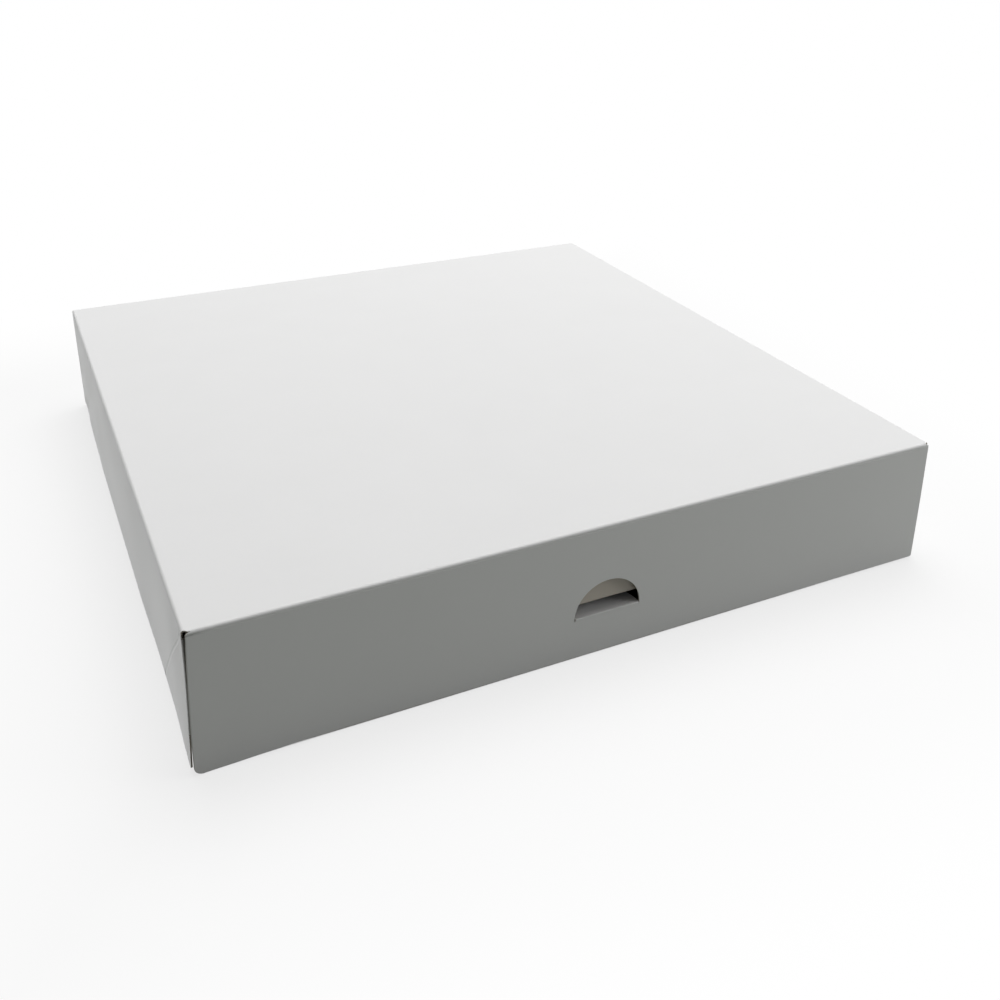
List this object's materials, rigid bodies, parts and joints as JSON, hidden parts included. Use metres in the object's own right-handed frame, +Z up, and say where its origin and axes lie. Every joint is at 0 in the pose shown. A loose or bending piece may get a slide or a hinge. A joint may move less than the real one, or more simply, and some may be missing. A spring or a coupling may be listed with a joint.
{
  "type": "pastry box",
  "caption": "Flat square pastry box folded from white-coated paperboard, with a hinged lid whose half-moon tongue locks into the tray's front wall.",
  "frame": {"origin": "middle of the box's footprint, on the surface that it stands on", "axes": "+X along the front from left to right, +Y from the front flap to the hinge at the back, +Z up"},
  "size_m": [0.28, 0.28, 0.051],
  "materials": {
    "white_board": "satin",
    "board_reverse": "matte",
    "board_edge": "matte"
  },
  "bodies": {
    "tray": {"tray": "white_board"},
    "lid": {"lid": "white_board"},
    "tongue": {"lock_tongue": "white_board"}
  },
  "joints": [
    {"name": "lid_hinge", "type": "hinge", "parent": "tray", "child": "lid", "pos_m": [0, 0.14, 0.051], "axis": [-1, 0, 0], "range_deg": [0, 175], "deforming": ["lock_tongue"]},
    {"name": "tongue_fold", "type": "hinge", "parent": "lid", "child": "tongue", "pos_m": [0, -0.13975, 0.0166], "axis": [1, 0, 0], "range_deg": [0, 84], "deforming": ["lock_tongue"]}
  ]
}
